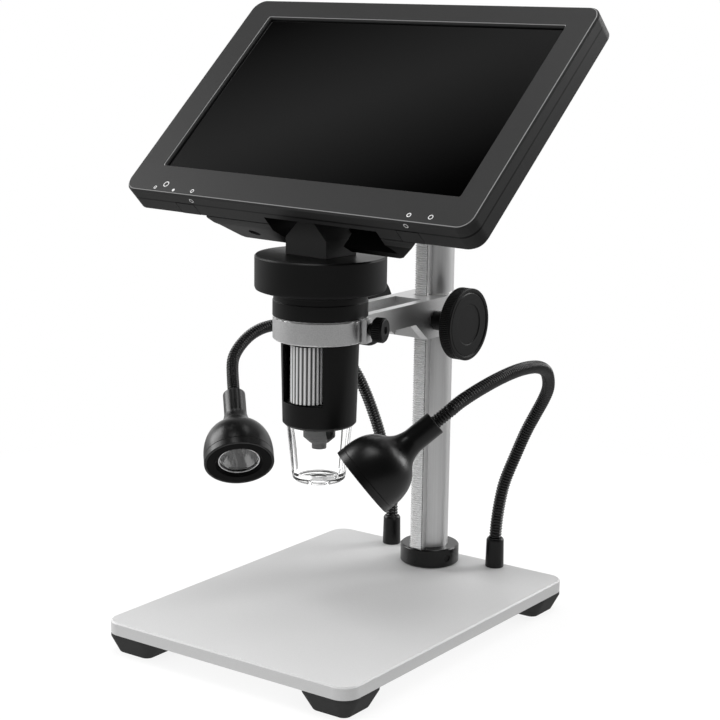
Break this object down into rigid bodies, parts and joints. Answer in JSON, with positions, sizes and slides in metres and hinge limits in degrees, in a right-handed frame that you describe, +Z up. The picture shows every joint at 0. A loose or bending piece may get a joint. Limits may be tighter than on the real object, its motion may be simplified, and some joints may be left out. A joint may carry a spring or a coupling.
{
  "type": "digital microscope",
  "caption": "Desktop digital microscope: tilting screen over a camera head, rack-and-pinion column stand on a flat stage, and bendable-neck lamps.",
  "frame": {"origin": "centre of the stage plate, on the surface that the feet stand on", "axes": "+X to the user's right, -Y towards the user, +Z up along the column"},
  "size_m": [0.1868, 0.1665, 0.2583],
  "materials": {
    "stage_silver": "fine bead-blasted, clear anodised",
    "foot_rubber": "matte",
    "screw_steel": "plain zinc",
    "column_silver": "turned, satin",
    "rack_steel": "milled",
    "collar_black": "satin black",
    "socket_black": "semi-gloss black",
    "bracket_silver": "bead-blasted, clear anodised",
    "liner_white": "acetal liner",
    "bush_bronze": "sintered",
    "knob_black": "satin black anodised",
    "barrel_black": "satin black",
    "case_black": "fine-grained satin black",
    "board_green": "solder mask",
    "cup_clear": "clear moulded acrylic",
    "roller_silver": "ribbed, bright",
    "lens_glass": "clear",
    "screen_glass": "glossy black",
    "lcd_dark": "unlit panel",
    "cell_blue": "shrink sleeve",
    "neck_black": "ribbed satin black",
    "lamp_black": "semi-gloss black",
    "reflector_chrome": "vacuum-metallised"
  },
  "bodies": {
    "stand": {"base_plate": "stage_silver", "feet": "foot_rubber", "foot_screws": "screw_steel", "column": "column_silver", "gear_rack": "rack_steel", "column_collar": "collar_black", "collar_screw": "screw_steel", "column_bolt": "screw_steel", "column_cap": "collar_black", "lamp_socket_left": "socket_black", "lamp_socket_right": "socket_black", "socket_nuts": "screw_steel"},
    "carriage": {"bracket": "bracket_silver", "column_liner": "liner_white", "pinion_bushes": "bush_bronze"},
    "pinion": {"pinion_shaft": "rack_steel", "focus_knob_left": "knob_black", "focus_knob_right": "knob_black", "knob_screws": "screw_steel"},
    "clamp_screw": {"clamp_screw": "knob_black"},
    "head": {"barrel_shell": "barrel_black", "head_collar": "barrel_black", "head_drum": "barrel_black", "drum_plate": "case_black", "head_screws": "screw_steel", "hinge_block": "case_black", "roller_plates": "case_black", "guide_rods": "screw_steel", "light_board": "board_green", "light_cup": "cup_clear", "head_board": "board_green"},
    "focus_roller": {"focus_roller": "roller_silver"},
    "lens_carriage": {"lens_carrier": "case_black", "lens_barrel": "case_black", "front_lens": "lens_glass", "sensor_board": "board_green"},
    "screen": {"front_bezel": "case_black", "cover_glass": "screen_glass", "lcd_panel": "lcd_dark", "main_board": "board_green", "battery_cell": "cell_blue", "rear_cover": "case_black", "screen_screws": "screw_steel", "hinge_bracket": "rack_steel", "hinge_pin": "screw_steel"},
    "power_key": {"power_key": "case_black"},
    "capture_key": {"capture_key": "case_black"},
    "lamp_arm_left": {"neck_left": "neck_black"},
    "lamp_arm_right": {"neck_right": "neck_black"},
    "lamp_head_left": {"neck_tip_left": "neck_black", "lamp_shell_left": "lamp_black", "lamp_face_left": "lamp_black", "lamp_reflector_left": "reflector_chrome", "lamp_lens_left": "lens_glass"},
    "lamp_head_right": {"neck_tip_right": "neck_black", "lamp_shell_right": "lamp_black", "lamp_face_right": "lamp_black", "lamp_reflector_right": "reflector_chrome", "lamp_lens_right": "lens_glass"}
  },
  "joints": [
    {"name": "carriage_slide", "type": "slide", "parent": "stand", "child": "carriage", "axis": [0, 0, 1], "range_m": [-0.038, 0.05]},
    {"name": "knob_turn", "type": "hinge", "parent": "carriage", "child": "pinion", "pos_m": [0, 0.04949, 0.1265], "axis": [1, 0, 0], "range_deg": [-717, 545]},
    {"name": "clamp_turn", "type": "hinge", "parent": "carriage", "child": "clamp_screw", "pos_m": [0.01956, -0.01414, 0.13305], "axis": [0.9781, 0.2079, 0], "range_deg": [-360, 30]},
    {"name": "head_turn", "type": "hinge", "parent": "carriage", "child": "head", "pos_m": [0, -0.0183, 0.1316], "axis": [0, 0, 1], "range_deg": [-55, 65]},
    {"name": "roller_turn", "type": "hinge", "parent": "head", "child": "focus_roller", "pos_m": [0.0004, -0.02589, 0.1146], "axis": [0, 0, 1], "range_deg": [-180, 180]},
    {"name": "lens_focus", "type": "slide", "parent": "head", "child": "lens_carriage", "axis": [0, 0, 1], "range_m": [-0.0015, 0.0015]},
    {"name": "screen_tilt", "type": "hinge", "parent": "head", "child": "screen", "pos_m": [0, -0.0183, 0.1801], "axis": [-0.9962, 0.0872, 0], "range_deg": [-36.5, 28]},
    {"name": "power_press", "type": "slide", "parent": "screen", "child": "power_key", "axis": [0.0632, 0.7226, 0.6884], "range_m": [0, 0.0006], "stiffness_N_per_m": 300, "springref_m": -0.0005},
    {"name": "capture_press", "type": "slide", "parent": "screen", "child": "capture_key", "axis": [0.0632, 0.7226, 0.6884], "range_m": [0, 0.0006], "stiffness_N_per_m": 300, "springref_m": -0.0005},
    {"name": "lamp_swivel_left", "type": "hinge", "parent": "stand", "child": "lamp_arm_left", "pos_m": [-0.0278, 0.0754, 0.0269], "axis": [0, 0, 1], "range_deg": [-80, 8]},
    {"name": "lamp_tilt_left", "type": "hinge", "parent": "lamp_arm_left", "child": "lamp_head_left", "pos_m": [-0.07042, 0.01268, 0.09119], "axis": [0.7193, 0.6947, 0], "range_deg": [-30, 30], "deforming": ["neck_tip_left"]},
    {"name": "lamp_swivel_right", "type": "hinge", "parent": "stand", "child": "lamp_arm_right", "pos_m": [0.0278, 0.0754, 0.0269], "axis": [0, 0, 1], "range_deg": [0, 80]},
    {"name": "lamp_tilt_right", "type": "hinge", "parent": "lamp_arm_right", "child": "lamp_head_right", "pos_m": [0.0522, -0.0088, 0.10109], "axis": [0.7071, -0.7071, 0], "range_deg": [-6, 30], "deforming": ["neck_tip_right"]}
  ],
  "couplings": [
    {"joint": "knob_turn", "follows": "carriage_slide", "rad_per_m": -250},
    {"joint": "roller_turn", "follows": "lens_focus", "rad_per_m": 2094.4}
  ]
}
